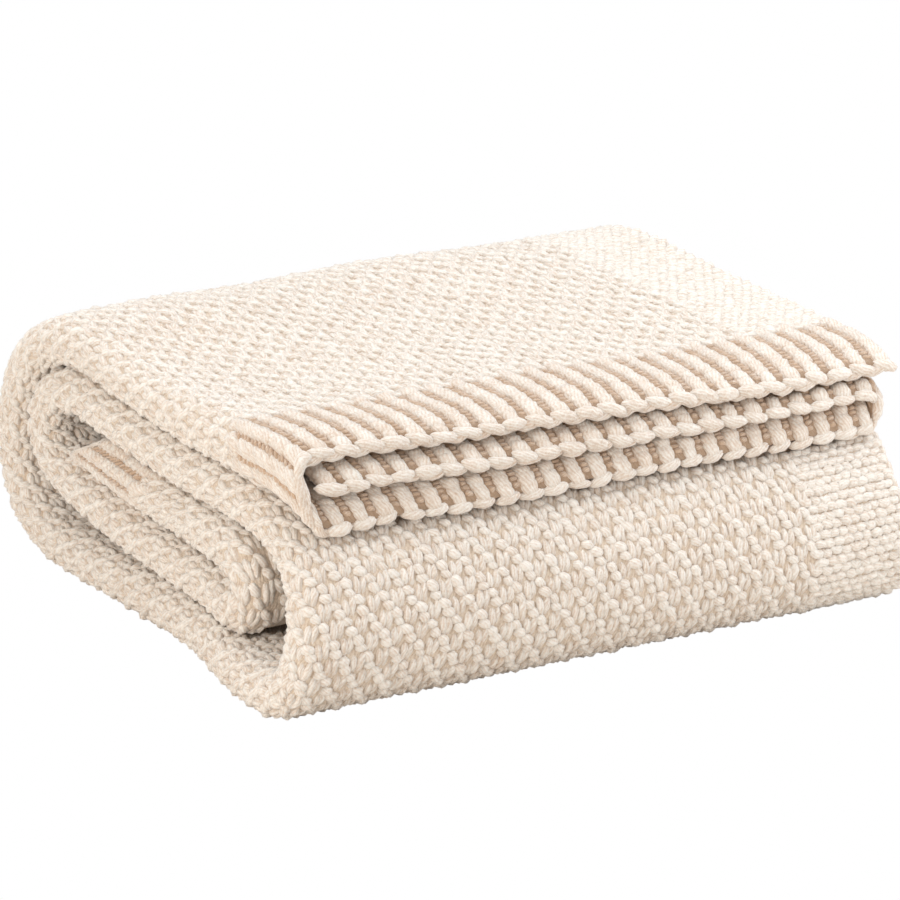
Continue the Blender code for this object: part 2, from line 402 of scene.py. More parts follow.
    def place(self, points: Array) -> Array:
        """Places points of the flat sheet in the folded throw.

        Args:
            points: Rows of (u, v, h) in millimetres.

        Returns:
            Rows of (x, y, z) in metres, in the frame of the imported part.
        """
        u, v, height = points.T
        across = self._profile(u)
        nominal = np.interp(v, self.grown, self.spans)
        total = self.spans[-1] - self.overrun
        first = np.clip(1 - nominal / self.hem_reach, 0.0, None) ** 2
        last = np.clip(1 - (total - nominal) / self.hem_reach, 0.0, None) ** 2
        along = nominal + across["outer_hem"] * first - across["inner_hem"] * last
        values = [np.interp(along, self.spans, column) for column in self.rows.T]
        left, left_out = np.array(values[LEFT]), np.array(values[LEFT_OUT])
        right, right_out = np.array(values[RIGHT]), np.array(values[RIGHT_OUT])
        x_left, x_right, spread_left, spread_right = values[SHIFTS]
        base = x_left + (self.length_x + x_right - x_left) * across["share"]
        share = np.clip(base / self.length_x, 0.0, 1.0)
        spread = spread_left + (spread_right - spread_left) * share
        x = base + across["offset"] + height * across["normal_x"]
        w = across["ply"] * self.ply_spacing * spread + height * across["normal_w"]
        share = eased(np.clip(x / self.length_x, 0.0, 1.0))
        y, z = (left + w * left_out) * (1 - share) + (right + w * right_out) * share
        z = np.maximum(z, 0.0) * self._sag(x, y)
        return (np.column_stack([x, y, z]) - np.array(self.origin)) * MM

    def columns(self, pitch: float, side: Side, along: float) -> Array:
        """Places across the sheet that are a pitch apart over the stitches, where a fold is longer outside.

        Args:
            pitch: Distance from one place to the next.
            side: The side of the sheet.
            along: Where along the sheet the distance is measured.

        Returns:
            The places, the first half a pitch from the free selvedge.
        """
        u = np.linspace(0.0, self.edges[-1], self.fold_samples)
        level = np.full_like(u, side.value * self.ply_thickness / 2)
        line = distances(self.place(np.column_stack([u, np.full_like(u, along), level]))) / MM
        return np.interp(np.arange(pitch / 2, line[-1], pitch), line, u)

    def stretches(self, u: Array, v: Array, side: Side) -> Array:
        """How much longer than flat the cloth's surface is at each place, across and along.

        Args:
            u: Places across the sheet.
            v: Places along it.
            side: The side of the sheet.

        Returns:
            Rows of two factors.
        """
        level = np.full_like(u, side.value * self.ply_thickness / 2)
        found = []
        for across, along in ((self.probe, 0.0), (0.0, self.probe)):
            ahead = self.place(np.column_stack([u + across, v + along, level]))
            behind = self.place(np.column_stack([u - across, v - along, level]))
            found.append(np.linalg.norm(ahead - behind, axis=1) / (2 * self.probe * MM))
        return np.clip(np.column_stack(found), *self.stretch_limits)

    def _sag(self, x: Array, y: Array) -> Array:
        """Height factor of the stack, which is a little higher at the rear and slightly wavy.

        Args:
            x: Places along the bands.
            y: Places from front to rear.

        Returns:
            One factor per place.
        """
        at, front_factor, rear_factor = np.array(SAG).T
        along = np.clip(x / self.length_x, 0.0, 1.0)
        front, rear = np.interp(along, at, front_factor), np.interp(along, at, rear_factor)
        turns = x / self.ripple_length_x + y / self.ripple_length_y
        ripple = self.ripple_height * np.sin(math.tau * turns)
        return front + (rear - front) * np.clip(y / self.depth, 0.0, 1.0) + ripple


def shader_of(material: bpy.types.Material) -> bpy.types.Node:
    """The Principled shader of a new material."""
    return material.node_tree.nodes["Principled BSDF"]


class NoiseLayer(NamedTuple):
    """One layer of noise: its scale and detail, and how strongly it acts."""

    scale: float
    detail: float
    strength: float
    roughness: float = 0.6


class NodeChain:
    """Adds nodes to a tree and links their sockets by name."""

    def __init__(self, tree: bpy.types.NodeTree) -> None:
        """Keeps the tree that the nodes go to."""
        self.tree = tree

    def add(self, kind: str, settings: dict | None = None, **inputs: object) -> bpy.types.Node:
        """Adds one node.

        Args:
            kind: The node's type name.
            settings: Properties of the node itself.
            **inputs: Values or output sockets for its inputs. A name's underscores stand for blanks, and
                a name like at_0 stands for the input's number.

        Returns:
            The node.
        """
        node = self.tree.nodes.new(kind)
        for name, value in (settings or {}).items():
            setattr(node, name, value)
        for name, value in inputs.items():
            key = int(name[3:]) if name.startswith("at_") else name.replace("_", " ")
            if isinstance(value, bpy.types.NodeSocket):
                self.tree.links.new(value, node.inputs[key])
            else:
                node.inputs[key].default_value = value
        return node

    def math(self, operation: str, *values: object) -> bpy.types.NodeSocket:
        """Output of a math node on up to three values or sockets."""
        inputs = {f"at_{i}": value for i, value in enumerate(values)}
        return self.add("ShaderNodeMath", {"operation": operation}, **inputs).outputs[0]

    def noise(self, places: bpy.types.NodeSocket, layer: NoiseLayer) -> bpy.types.NodeSocket:
        """Adds a noise texture, centred on nought.

        Args:
            places: Where the texture is read.
            layer: Its scale, detail and roughness.

        Returns:
            Its output.
        """
        numbers = {"Scale": layer.scale, "Detail": layer.detail, "Roughness": layer.roughness}
        node = self.add("ShaderNodeTexNoise", Vector=places, **numbers)
        return self.math("SUBTRACT", node.outputs["Fac"], 0.5)


@dataclass(frozen=True)
class YarnSurface:
    """Node group for soft spun yarn: strands that twist round each other with painted shade in the grooves
    between them, loose fibres, and painted shade of the deep places mixed with random tone.
    """

    twist_length: float = 6.5
    strand_shade: float = 0.3
    streak_stretch: float = 0.08
    wobble: NoiseLayer = NoiseLayer(130.0, 1.0, 2.0)
    streak: NoiseLayer = NoiseLayer(3.0, 3.0, 0.8)
    fuzz: NoiseLayer = NoiseLayer(800.0, 3.0, 1.0)
    clump: NoiseLayer = NoiseLayer(300.0, 2.0, 0.75)

    def build(self) -> bpy.types.NodeTree:
        """Makes the group, whose outputs are Color and Height.

        Returns:
            The node group.
        """
        tree = bpy.data.node_groups.new("spun_yarn", "ShaderNodeTree")
        sockets = (
            ("Light", "INPUT", "NodeSocketColor"),
            ("Shade", "INPUT", "NodeSocketColor"),
            ("Twist", "INPUT", "NodeSocketFloat"),
            ("Fibre", "INPUT", "NodeSocketFloat"),
            ("Color", "OUTPUT", "NodeSocketColor"),
            ("Height", "OUTPUT", "NodeSocketFloat"),
        )
        for name, direction, kind in sockets:
            tree.interface.new_socket(name, in_out=direction, socket_type=kind)
        chain = NodeChain(tree)
        inputs = chain.add("NodeGroupInput").outputs
        strand = chain.add("ShaderNodeUVMap", {"uv_map": "strand"}).outputs["UV"]
        parts = chain.add("ShaderNodeSeparateXYZ", Vector=strand).outputs
        around, along = parts["X"], parts["Y"]
        places = chain.add("ShaderNodeTexCoord").outputs["Object"]
        bend = chain.noise(places, self.wobble)
        fuzz = chain.noise(places, self.fuzz)
        clump = chain.noise(places, self.clump)
        slanted = chain.math("MULTIPLY_ADD", along, 1 / self.twist_length, around)
        slanted = chain.math("MULTIPLY_ADD", bend, self.wobble.strength, slanted)
        wave = chain.math("SINE", chain.math("MULTIPLY", slanted, math.tau))
        groove = chain.math("MULTIPLY_ADD", wave, -0.5, 0.5)
        drawn = chain.math("MULTIPLY", along, self.streak_stretch)
        streaks = chain.add("ShaderNodeCombineXYZ", X=slanted, Y=drawn).outputs[0]
        streak = chain.noise(streaks, self.streak)
        # The attribute read here holds painted shade of the deep places and of the rib valleys, mixed with
        # random tone
        shade = chain.add("ShaderNodeAttribute", {"attribute_name": "tone"}).outputs["Fac"]
        # Painted shade in the grooves between the strands, then random fibre streaks, fuzz and clumps
        for part, share in (
            (groove, self.strand_shade),
            (streak, self.streak.strength),
            (fuzz, self.fuzz.strength),
            (clump, self.clump.strength),
        ):
            shade = chain.math("MULTIPLY_ADD", part, share, shade)
        fibres = chain.math("MULTIPLY", chain.math("ADD", streak, fuzz), inputs["Fibre"])
        height = chain.math("SUBTRACT", fibres, chain.math("MULTIPLY", groove, inputs["Twist"]))
        mixed = chain.add(
            "ShaderNodeMix",
            {"data_type": "RGBA"},
            at_0=shade,
            at_6=inputs["Light"],
            at_7=inputs["Shade"],
        ).outputs[2]
        chain.add("NodeGroupOutput", Color=mixed, Height=height)
        return tree


@dataclass(frozen=True)
class WoolFinish:
    """Cream wool yarn, lit side and shaded side, with how strongly its twist and fibres show."""

    name: str
    light: tuple[float, float, float, float] = (0.925, 0.88, 0.825, 1.0)
    shade: tuple[float, float, float, float] = (0.61, 0.43, 0.30, 1.0)
    twist: float = 0.7
    fibre: float = 3.0
    bump_distance: float = 0.0007
    bump_strength: float = 0.42
    roughness: float = 0.92
    specular: float = 0.2
    sheen: float = 0.6
    sheen_roughness: float = 0.5

    def build(self, yarn: bpy.types.NodeTree) -> bpy.types.Material:
        """Makes the material.

        Args:
            yarn: The node group of spun yarn.

        Returns:
            The material.
        """
        material = bpy.data.materials.new(self.name)
        material.use_nodes = True
        chain = NodeChain(material.node_tree)
        shader = shader_of(material)
        group = chain.add("ShaderNodeGroup", {"node_tree": yarn})
        for socket, value in (
            ("Light", self.light),
            ("Shade", self.shade),
            ("Twist", self.twist),
            ("Fibre", self.fibre),
        ):
            group.inputs[socket].default_value = value
        bump = chain.add(
            "ShaderNodeBump",
            Strength=self.bump_strength,
            Distance=self.bump_distance,
            Height=group.outputs["Height"],
        )
        material.node_tree.links.new(group.outputs["Color"], shader.inputs["Base Color"])
        material.node_tree.links.new(bump.outputs["Normal"], shader.inputs["Normal"])
        for socket, value in (
            ("Roughness", self.roughness),
            ("Specular IOR Level", self.specular),
            ("Sheen Weight", self.sheen),
            ("Sheen Roughness", self.sheen_roughness),
        ):
            shader.inputs[socket].default_value = value
        return material


CREAM_WOOL = WoolFinish("cream_wool")
SHADED_WOOL = WoolFinish(
    "shaded_wool",
    light=(0.83, 0.71, 0.585, 1.0),
    shade=(0.46, 0.31, 0.205, 1.0),
    bump_distance=0.0014,
)


@dataclass
class FoldedSheet:
    """The cloth itself: one closed sheet under the stitches.

    Its colour carries painted shade, as it shows only in the hollows between stitches: deeper under the
    ribs, whose valleys are deep, than under the other stitches.
    """

    fold: BlanketFold
    thickness: float = 6.0
    hem_inset: float = 4.0
    selvedge_inset: float = 2.0
    hem_depth: float = 84.0
    hem_shade: float = 1.1
    pit_shade: float = 0.12
    across_cells: tuple[int, ...] = (40, 10, 22, 8, 20)
    along_cells: int = 240
    bend_share: float = 70.0
    strand_width: float = 2.3
    grid_size: float = 1.0
    grid_thickness: float = 0.1

    def _stations(self) -> Array:
        """Spreads the rows of cells along the sheet, closer together where it bends.

        Returns:
            Their distances from the outer hem.
        """
        out_y, out_z = self.fold.rows[1:-1, LEFT_OUT].T
        grown = self.fold.grown[1:-1]
        bend = np.abs(np.diff(np.unwrap(np.arctan2(out_z, out_y))))
        share = np.concatenate([[0.0], np.cumsum(np.diff(grown) + self.bend_share * bend)])
        places = np.interp(np.linspace(0.0, share[-1], self.along_cells + 1), share, grown)
        inset = self.hem_inset if self.thickness < self.fold.ply_thickness else 0.0
        places[[0, -1]] += (inset, -inset)
        return places

    def shell(self) -> bmesh.types.BMesh:
        """Makes the closed sheet from a grid that gets a thickness and is then folded.

        Returns:
            The folded sheet, with its distances across and along as the strand coordinates.
        """
        edges = self.fold.edges
        lines = [
            np.linspace(edges[i], edges[i + 1], cells, endpoint=False)
            for i, cells in enumerate(self.across_cells)
        ]
        across = np.concatenate([*lines, edges[-1:]])
        across[[0, -1]] += (self.selvedge_inset, -self.selvedge_inset)
        along = self._stations()
        body = bmesh.new()
        cells = (len(across) - 1, len(along) - 1)
        bmesh.ops.create_grid(body, x_segments=cells[0], y_segments=cells[1], size=self.grid_size / 2)
        bmesh.ops.solidify(body, geom=body.faces[:], thickness=self.grid_thickness)
        flat = np.array([vertex.co for vertex in body.verts])
        column, row = np.rint((flat[:, :2] / self.grid_size + 0.5) * cells).astype(int).T
        middle = (flat[:, 2].min() + flat[:, 2].max()) / 2
        height = np.sign(flat[:, 2] - middle) * self.thickness / 2
        cloth = np.column_stack([across[column], along[row], height])
        placed = self.fold.place(cloth)
        layer = body.loops.layers.uv.new("strand")
        tone = body.verts.layers.float.new("tone")
        for vertex, co, (_, v, _) in zip(body.verts, placed, cloth):
            vertex.co = co
            # Painted shade over the whole sheet, deepest near the hems under the ribs
            near_hem = min(v, along[-1] - v) < self.hem_depth
            vertex[tone] = self.hem_shade if near_hem else self.pit_shade
        for face in body.faces:
            face.smooth = True
            for loop in face.loops:
                u, v, _ = cloth[loop.vert.index]
                loop[layer].uv = (u / self.strand_width, v)
        bmesh.ops.recalc_face_normals(body, faces=body.faces[:])
        return body

    def build(self, material: bpy.types.Material) -> bpy.types.Object:
        """Makes the sheet's object.

        Args:
            material: Its material.

        Returns:
            The sheet.
        """
        body = self.shell()
        mesh = bpy.data.meshes.new("throw_sheet")
        body.to_mesh(mesh)
        body.free()
        mesh.materials.append(material)
        return new_object("throw_sheet", mesh)


@dataclass
class Outlook:
    """Tells which places of the sheet can be seen from outside the roll."""

    fold: BlanketFold
    blocker: BVHTree
    cell: float = 8.0
    height: float = 5.0
    foot_share: float = 0.9
    grazing: float = 0.02
    reach: float = 0.3
    ways_out: int = 2
    ways_tried: int = 60
    seen: dict[Side, Array] = field(init=False)

    def __post_init__(self) -> None:
        """Looks out from each cell of both sides along a set of directions."""
        columns = int(self.fold.edges[-1] / self.cell) + 1
        rows = int(self.fold.length / self.cell) + 1
        grid = np.stack(np.meshgrid(np.arange(columns), np.arange(rows), indexing="ij"), -1)
        flat = (grid.reshape(-1, 2) + 0.5) * self.cell
        rays = self._directions(self.ways_tried)
        self.seen = {}
        for side in Side:
            level = np.full((len(flat), 1), side.value * self.height)
            spots = self.fold.place(np.hstack([flat, level]))
            feet = self.fold.place(np.hstack([flat, level * self.foot_share]))
            normals = spots - feet
            normals /= np.maximum(np.linalg.norm(normals, axis=1), TINY)[:, None]
            clear = np.zeros(len(flat), bool)
            for i, (spot, normal) in enumerate(zip(spots, normals)):
                ahead = rays[rays @ normal > self.grazing]
                ahead = ahead[np.argsort(-(ahead @ normal))]
                free = (ray for ray in ahead if self.blocker.ray_cast(spot, ray, self.reach)[0] is None)
                clear[i] = len(list(islice(free, self.ways_out))) == self.ways_out
            self.seen[side] = clear.reshape(columns, rows)

    @staticmethod
    def _directions(count: int) -> Array:
        """Spreads directions evenly over a sphere.

        Args:
            count: How many.

        Returns:
            One unit vector each.
        """
        k = np.arange(count) + 0.5
        z = 1 - 2 * k / count
        angle = k * math.pi * (3 - math.sqrt(5))
        radius = np.sqrt(1 - z * z)
        return np.column_stack([radius * np.cos(angle), radius * np.sin(angle), z])

    def shows(self, u: Array, v: Array, side: Side) -> Array:
        """Tells which places on one side can be seen.

        Args:
            u: Places across the sheet.
            v: Places along it.
            side: The side of the sheet.

        Returns:
            One yes or no per place.
        """
        seen = self.seen[side]
        column = np.clip((u / self.cell).astype(int), 0, seen.shape[0] - 1)
        row = np.clip((v / self.cell).astype(int), 0, seen.shape[1] - 1)
        return seen[column, row]


@dataclass(frozen=True)
class YarnShape:
    """One short length of yarn, which rises from the cloth and dips into it again.

    The path's rows are (u, v, h) in millimetres from the stitch's own centre.
    """

    path: tuple[tuple[float, float, float], ...]
    radius: float
    width: float = 1.0
    sides: int = 6
    rings: int = 5
    plumpness: float = 0.55
    lumpiness: float = 0.1
    lump_waves: tuple[float, float, float] = (4.0, 5.0, 6.0)
    phase: float = 0.0
    strand_width: float = 2.3
    girth_spread: float = 0.06
    probe: float = 0.02

    def mirrored(self) -> "YarnShape":
        """The shape turned over from left to right."""
        return replace(self, path=tuple((-u, v, h) for u, v, h in self.path))

    def flipped(self) -> "YarnShape":
        """The shape turned over along the sheet."""
        return replace(self, path=tuple((u, -v, h) for u, v, h in self.path))

    def variant(self, random: np.random.Generator, unevenness: float) -> "YarnShape":
        """Changes the path, the thickness and the lumps a little.

        Args:
            random: Where the changes come from.
            unevenness: How far the path's points may move.

        Returns:
            The changed shape.
        """
        rows = np.array(self.path) + random.normal(0.0, unevenness, (len(self.path), 3))
        path = tuple(tuple(float(part) for part in row) for row in rows)
        radius = self.radius * random.normal(1.0, self.girth_spread)
        return replace(self, path=path, radius=radius, phase=random.uniform(0.0, math.tau))

    def build(self) -> "YarnCast":
        """Makes the shape from a sphere that is drawn out along the path.

        Returns:
            The points, faces and strand coordinates that the copies are made from.
        """
        body = bmesh.new()
        layer = body.loops.layers.uv.new("strand")
        bmesh.ops.create_uvsphere(
            body, u_segments=self.sides, v_segments=self.rings, radius=1.0, calc_uvs=True
        )
        points = np.array([vertex.co for vertex in body.verts])
        path = np.array(self.path)
        steps = distances(path)
        polar = np.arccos(np.clip(points[:, 2], -1.0, 1.0)) / math.pi
        centre = self._on_path(path, steps, polar)
        ahead = self._on_path(path, steps, polar + self.probe)
        ahead -= self._on_path(path, steps, polar - self.probe)
        ahead /= np.linalg.norm(ahead, axis=1)[:, None]
        across = np.cross(ahead, (0.0, 0.0, 1.0))
        across /= np.linalg.norm(across, axis=1)[:, None]
        above = np.cross(across, ahead)
        girth = self.radius * np.sin(polar * math.pi).clip(0.0, 1.0) ** self.plumpness
        girth *= 1 + self.lumpiness * np.sin(self.phase + points @ self.lump_waves)
        around = points[:, :2] / np.maximum(np.linalg.norm(points[:, :2], axis=1), TINY)[:, None]
        placed = centre + girth[:, None] * (self.width * around[:, :1] * across + around[:, 1:] * above)
        for vertex, co in zip(body.verts, placed):
            vertex.co = co
        bmesh.ops.recalc_face_normals(body, faces=body.faces[:])
        faces = [[loop.vert.index for loop in face.loops] for face in body.faces]
        strands = round(math.pi * self.radius * (1 + self.width) / self.strand_width)
        strand = np.array([loop[layer].uv for face in body.faces for loop in face.loops])
        cast = YarnCast(placed, faces, strand * (strands, steps[-1]))
        body.free()
        return cast

    @staticmethod
    def _on_path(path: Array, steps: Array, share: Array, samples: int = 41, most: int = 4) -> Array:
        """Finds points on a smooth curve through the rows of a path.

        Args:
            path: The path's rows.
            steps: The distance of each row from the first.
            share: Shares of the whole distance.
            samples: How finely the curve is worked out.
            most: The highest degree of the curve.

        Returns:
            One point per share.
        """
        fine = np.linspace(0.0, 1.0, samples)
        at = steps / steps[-1]
        degree = min(len(path) - 1, most)
        curve = np.column_stack([np.polyval(np.polyfit(at, column, degree), fine) for column in path.T])
        return np.column_stack([np.interp(np.clip(share, 0, 1), fine, column) for column in curve.T])


@dataclass(frozen=True)
class YarnCast:
    """A yarn shape's points, faces and strand coordinates, ready to be repeated."""

    points: Array
    faces: list[list[int]]
    strand: Array


@dataclass(frozen=True)
class StitchSpots:
    """Where and how copies of a shape lie on one side of the sheet, with one row per copy.

    Where the cloth is stretched, a firmness of 0 stretches the copies with it, and 1 keeps their size.
    """

    side: Side
    centres: Array
    turns: Array
    sizes: Array
    stretches: Array
    shades_and_tones: Array
    firmness: float = 0.4

    def only(self, chosen: Array) -> "StitchSpots":
        """The chosen copies."""
        names = ("centres", "turns", "sizes", "stretches", "shades_and_tones")
        return replace(self, **{name: getattr(self, name)[chosen] for name in names})

    def laid(self, points: Array) -> Array:
        """Points of a shape in the flat sheet, for each copy.

        Args:
            points: The shape's own points.

        Returns:
            Rows of (u, v, h) for each copy, with h positive on both sides.
        """
        u, v, h = np.moveaxis(points[None] * self.sizes[:, None], -1, 0)
        cos, sin = np.cos(self.turns)[:, None], np.sin(self.turns)[:, None]
        flat = np.stack([u * cos - v * sin, u * sin + v * cos, h], -1)
        flat[:, :, :2] /= self.stretches[:, None] ** self.firmness
        return flat + self.centres[:, None]


@dataclass
class StitchBatch:
    """Copies of yarn shapes laid over the folded sheet, which become one piece."""

    fold: BlanketFold
    lit_height: float = 4.6
    shade_range: float = 3.4
    shade_share: float = 0.3
    points: list[Array] = field(default_factory=list)
    loops: list[Array] = field(default_factory=list)
    sizes: list[Array] = field(default_factory=list)
    strands: list[Array] = field(default_factory=list)
    shades_and_tones: list[Array] = field(default_factory=list)
    count: int = 0

    def lay(self, cast: YarnCast, spots: StitchSpots) -> None:
        """Lays a copy of a shape at each spot; the deeper a point lies, the more painted shade its colour
        gets.

        Args:
            cast: The shape.
            spots: The copies' places.
        """
        copies = len(spots.centres)
        if not copies:
            return
        size = len(cast.points)
        flat = spots.laid(cast.points)
        # Painted shade: points below the lit height darken over the shade range
        depth = np.clip((self.lit_height - flat[:, :, 2]) / self.shade_range, 0.0, 1.0)
        self.shades_and_tones.append((spots.shades_and_tones[:, None] + self.shade_share * depth).ravel())
        flat[:, :, 2] *= spots.side.value
        self.points.append(self.fold.place(flat.reshape(-1, 3)))
        faces = [face[::-1] if spots.side is Side.OUTSIDE else face for face in cast.faces]
        order = np.concatenate([np.array(face) for face in faces])
        starts = self.count + size * np.arange(copies)
        self.loops.append((starts[:, None] + order[None]).ravel())
        self.sizes.append(np.tile([len(face) for face in faces], copies))
        self.strands.append(np.tile(self._ordered(cast, spots.side), (copies, 1)))
        self.count += size * copies

    @staticmethod
    def _ordered(cast: YarnCast, side: Side) -> Array:
        """Puts the strand coordinates in the order of the laid faces' corners.

        Args:
            cast: The shape.
            side: The side that it lies on; on the outside its faces are turned over.

        Returns:
            One row per corner.
        """
        if side is Side.INSIDE:
            return cast.strand
        ends = np.cumsum([len(face) for face in cast.faces])
        starts = ends - [len(face) for face in cast.faces]
        return np.concatenate([cast.strand[a:b][::-1] for a, b in zip(starts, ends)])

    @property
    def triangles(self) -> int:
        """How many triangles the batch has."""
        return int(sum((sizes - 2).sum() for sizes in self.sizes))

    def build(self, name: str, material: bpy.types.Material) -> bpy.types.Object:
        """Joins the copies into one piece.

        Args:
            name: The piece's name.
            material: Its material.

        Returns:
            The piece.
        """
        points = np.concatenate(self.points)
        loops, sizes = np.concatenate(self.loops), np.concatenate(self.sizes)
        mesh = bpy.data.meshes.new(name)
        mesh.vertices.add(len(points))
        mesh.vertices.foreach_set("co", points.astype(np.float32).ravel())
        mesh.loops.add(len(loops))
        mesh.loops.foreach_set("vertex_index", loops.astype(np.int32))
        mesh.polygons.add(len(sizes))
        starts = np.concatenate([[0], np.cumsum(sizes)[:-1]]).astype(np.int32)
        mesh.polygons.foreach_set("loop_start", starts)
        mesh.polygons.foreach_set("use_smooth", np.ones(len(sizes), bool))
        mesh.update(calc_edges=True)
        layer = mesh.uv_layers.new(name="strand")
        layer.data.foreach_set("uv", np.concatenate(self.strands).astype(np.float32).ravel())
        tone = mesh.attributes.new("tone", "FLOAT", "POINT")
        tone.data.foreach_set("value", np.concatenate(self.shades_and_tones).astype(np.float32))
        mesh.materials.append(material)
        mesh.validate()
        return new_object(name, mesh)


class Patch(NamedTuple):
    """A part of one side of the sheet, from where to where along it and across it."""

    side: Side
    start: float
    end: float
    left: float
    right: float

    def holds(self, u: Array, v: Array) -> Array:
        """Whether each place is in the patch."""
        return (u >= self.left) & (u < self.right) & (v >= self.start) & (v < self.end)


class Wave(NamedTuple):
    """A slow wave over the flat sheet: its size, its steepness as lengths across and along, its start."""

    size: float
    across: float
    along: float
    start: float

    def at(self, u: Array, v: Array) -> Array:
        """Height of the wave at each place."""
        return self.size * np.sin(u / self.across + v / self.along + self.start)


WANDER_ACROSS = (Wave(1.0, 83.0, 31.0, 0.0), Wave(0.6, -47.0, 17.0, 2.0))
WANDER_ALONG = (Wave(1.0, 37.0, 71.0, 1.0), Wave(0.6, 19.0, -53.0, 0.0))

KNIT_STRAND = YarnShape(
    ((0.9, -6.6, -1.9), (1.5, -3.4, 0.7), (2.0, 0.2, 1.3), (2.3, 3.6, 0.9), (2.2, 7.4, -1.2)),
    2.75,
    plumpness=0.42,
)
PURL_KNOB = YarnShape(
    ((-4.3, -3.0, -0.6), (-2.0, -1.1, 1.0), (0.0, 0.2, 1.5), (2.0, 1.2, 1.2), (4.3, 2.4, -0.5)),
    3.3,
    plumpness=0.45,
)
GARTER_ARCH = YarnShape(
    ((-5.2, -0.8, 0.6), (-2.4, 0.3, 0.9), (0.0, 0.7, 1.0), (2.4, 0.3, 0.9), (5.2, -0.8, 0.6)),
    3.15,
    plumpness=0.3,
)
RIB_BEAD = YarnShape(
    ((0.2, -8.0, 0.7), (0.0, -2.6, 1.2), (0.0, 2.6, 1.2), (-0.2, 8.0, 0.7)),
    3.8,
    width=1.62,
    sides=8,
    rings=6,
    plumpness=0.25,
)
HEM_LOBE = YarnShape(
    ((-10.6, -0.6, -1.0), (-5.0, -0.8, 0.3), (0.4, -0.3, 1.0), (5.4, 0.8, 0.9), (10.6, 3.0, 0.2)),
    3.8,
    sides=8,
    rings=7,
    plumpness=0.4,
)
SELVEDGE_LOOP = YarnShape(
    ((0.9, -6.4, 0.0), (-0.2, -2.2, 0.0), (-0.2, 2.2, 0.0), (0.9, 6.4, 0.0)), 3.0, sides=8
)


class Stitch(Enum):
    """The parts of stitches and edges that are laid on the sheet, each with its yarn shape."""

    KNIT_LEFT = KNIT_STRAND.mirrored()
    KNIT_RIGHT = KNIT_STRAND
    PURL = PURL_KNOB
    GARTER = GARTER_ARCH
    GARTER_FOOT = GARTER_ARCH.flipped()
    RIB = RIB_BEAD
    LOBE = HEM_LOBE
    LOOP = SELVEDGE_LOOP


class Laying(NamedTuple):
    """How copies of one yarn shape are laid.

    The lift is their height over the middle of the sheet, the shade and tone is how much darker than the
    rest they are, and the last two values move them off their places. The darkening is painted shade in the
    valleys between the ribs and on the knit legs, which lie lower than the purl knobs; the ribs and the
    edges are a little darker too.
    """

    stitch: Stitch
    lift: float
    tone: float = 0.0
    size: float = 1.0
    looseness: float = 1.0
    across: float = 0.0
    along: float = 0.0


# The knit legs get a little painted shade, as they lie lower than the purl knobs
KNIT_LEGS = (Laying(Stitch.KNIT_LEFT, 1.1, 0.08), Laying(Stitch.KNIT_RIGHT, 1.1, 0.08))
PURL_BUMPS = (
    Laying(Stitch.PURL, 1.2, across=1.3, along=2.5),
    Laying(Stitch.PURL, 1.2, size=0.94, across=-1.3, along=-2.7),
)
# The feet lie between the arches, half a garter column aside
GARTER_ROWS = (
    Laying(Stitch.GARTER, 1.3, along=2.2),
    Laying(Stitch.GARTER_FOOT, 1.3, across=3.4, along=-2.2),
)
RIB = Laying(Stitch.RIB, 0.9, 0.22, looseness=0.7)
# The valley knobs carry deep painted shade, for the hollows between the ribs
VALLEY = Laying(Stitch.GARTER, 1.7, 0.75, 0.64)
LOBES = {Side.OUTSIDE: Laying(Stitch.LOBE, 0.6, 0.15), Side.INSIDE: Laying(Stitch.LOBE, 0.6, 0.15, 0.9)}
LOOP = Laying(Stitch.LOOP, 0.3, 0.1)


